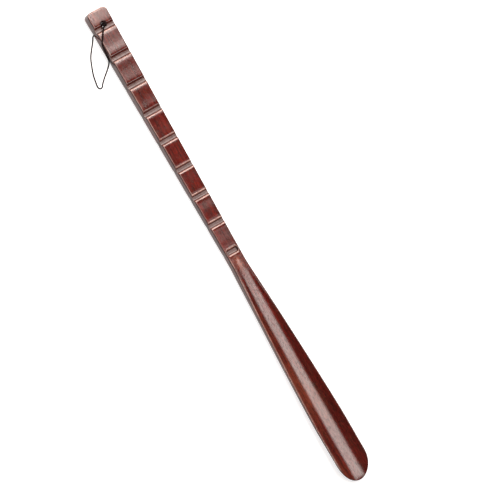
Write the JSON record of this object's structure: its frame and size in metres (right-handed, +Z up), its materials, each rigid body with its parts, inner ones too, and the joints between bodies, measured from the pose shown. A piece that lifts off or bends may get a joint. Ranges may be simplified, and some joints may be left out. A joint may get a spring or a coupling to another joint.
{
  "type": "long shoehorn",
  "caption": "Long lacquered wooden shoehorn with a finger-grooved handle, a troughed blade with a round tip, and a knotted cord loop to hang it by.",
  "frame": {"origin": "on the surface that the horn lies on, under the middle of the horn", "axes": "+X from the handle's end to the tip of the blade, +Y across, +Z up out of the front face, which is the face with the trough"},
  "size_m": [0.55, 0.0543, 0.0157],
  "materials": {
    "lacquered_wood": "dark red-brown lacquer, semi-gloss",
    "waxed_cord": "black twisted cord, waxed"
  },
  "bodies": {
    "root": {"horn": "lacquered_wood", "cord_loop": "waxed_cord", "cord_knot": "waxed_cord"}
  },
  "joints": []
}
